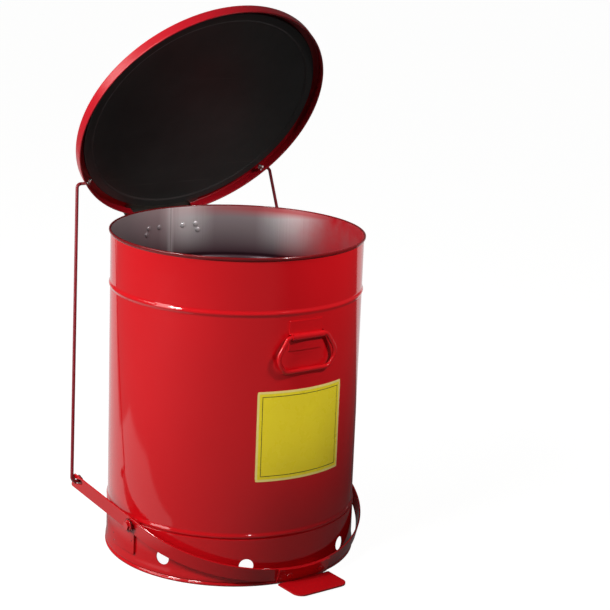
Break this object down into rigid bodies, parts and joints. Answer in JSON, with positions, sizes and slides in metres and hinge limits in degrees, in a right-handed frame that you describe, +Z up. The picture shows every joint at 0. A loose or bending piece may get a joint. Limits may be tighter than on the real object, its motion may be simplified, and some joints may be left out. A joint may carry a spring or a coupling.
{
  "type": "oily waste can",
  "caption": "Round steel waste can with a raised vented base, hinged lid, rods and a foot lever that opens the lid, and a drop handle on its front.",
  "frame": {"origin": "on the floor, on the can's own axis, in the plane of the foot ring", "axes": "+Z up; -Y towards the pedal, label and handle; +Y towards the lid hinge; +X to the right seen from the pedal"},
  "size_m": [0.5638, 0.5654, 0.984],
  "materials": {
    "red_enamel": "gloss enamel",
    "rod_enamel": "satin enamel",
    "bare_steel": "dull rolled sheet",
    "zinc": "zinc plated",
    "black_liner": "satin black",
    "label_vinyl": "printed vinyl"
  },
  "bodies": {
    "can": {"can_shell": "red_enamel", "bottom_pan": "bare_steel", "base_skirt": "red_enamel", "label_panel": "label_vinyl", "hinge_bracket": "bare_steel", "hinge_rivets": "zinc", "hinge_pin": "zinc", "handle_clip": "red_enamel", "pivot_bracket_left": "red_enamel", "pivot_bracket_right": "red_enamel", "pivot_washer_left": "zinc", "pivot_washer_right": "zinc", "pivot_bolt_left": "zinc", "pivot_bolt_right": "zinc"},
    "handle": {"bail_handle": "red_enamel"},
    "lid": {"lid_shell": "red_enamel", "lid_liner": "black_liner", "lid_hinge_leaf": "bare_steel", "lid_rivets": "zinc"},
    "lever": {"yoke_strap": "red_enamel", "pedal_plate": "red_enamel", "pedal_rivets": "zinc"},
    "rod_left": {"lift_rod_left": "rod_enamel", "rod_cap_left": "zinc", "rod_washer_left": "zinc"},
    "rod_right": {"lift_rod_right": "rod_enamel", "rod_cap_right": "zinc", "rod_washer_right": "zinc"}
  },
  "joints": [
    {"name": "lid_hinge", "type": "hinge", "parent": "can", "child": "lid", "pos_m": [0, 0.2394, 0.564], "axis": [1, 0, 0], "range_deg": [0, 56.4]},
    {"name": "lever_pivot", "type": "hinge", "parent": "can", "child": "lever", "pos_m": [0, -0.039, 0.086], "axis": [1, 0, 0], "range_deg": [-30.75, 0]},
    {"name": "rod_left_hook", "type": "hinge", "parent": "lid", "child": "rod_left", "pos_m": [-0.211, 0.20686, 0.65092], "axis": [1, 0, 0], "range_deg": [-49.66, 0]},
    {"name": "rod_right_hook", "type": "hinge", "parent": "lid", "child": "rod_right", "pos_m": [0.211, 0.20686, 0.65092], "axis": [1, 0, 0], "range_deg": [-49.66, 0]},
    {"name": "handle_pivot", "type": "hinge", "parent": "can", "child": "handle", "pos_m": [-0.008, -0.2312, 0.449], "axis": [-1, 0, 0], "range_deg": [0, 170]}
  ],
  "couplings": [
    {"joint": "lever_pivot", "follows": "lid_hinge", "ratio": -0.54517},
    {"joint": "rod_left_hook", "follows": "lid_hinge", "ratio": -0.88029},
    {"joint": "rod_right_hook", "follows": "lid_hinge", "ratio": -0.88029}
  ]
}
